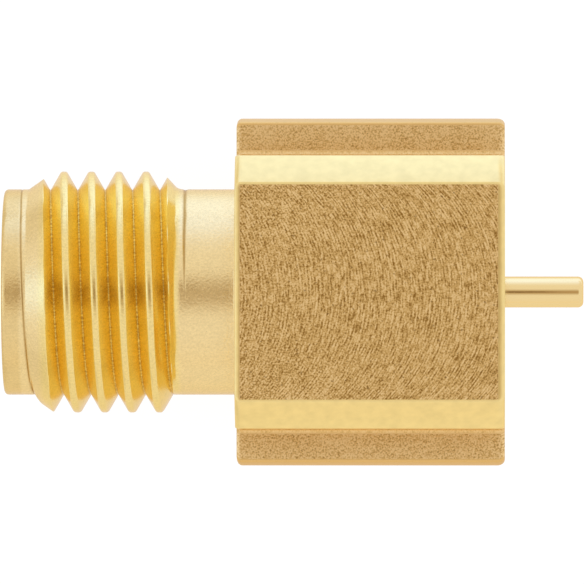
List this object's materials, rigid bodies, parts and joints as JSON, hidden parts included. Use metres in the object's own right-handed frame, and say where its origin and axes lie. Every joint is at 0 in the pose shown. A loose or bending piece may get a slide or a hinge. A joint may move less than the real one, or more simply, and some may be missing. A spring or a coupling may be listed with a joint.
{
  "type": "coaxial board-edge jack",
  "caption": "Threaded coaxial jack with a square, winged block, a white insulator, a slotted socket contact and a round solder pin.",
  "frame": {"origin": "on the connector's axis at the reference plane, the bottom of the mating bore", "axes": "-X out of the mating end, +X along the solder pin, +Z away from the board that the wings rest on"},
  "size_m": [0.0149, 0.009, 0.007],
  "materials": {
    "gold_plated_body": "thin gold plating over turned and milled brass",
    "white_ptfe": "turned PTFE, slightly waxy",
    "gold_plated_contact": "gold plating over a turned spring alloy"
  },
  "bodies": {
    "root": {"body": "gold_plated_body", "insulator": "white_ptfe", "centre_contact": "gold_plated_contact"}
  },
  "joints": []
}
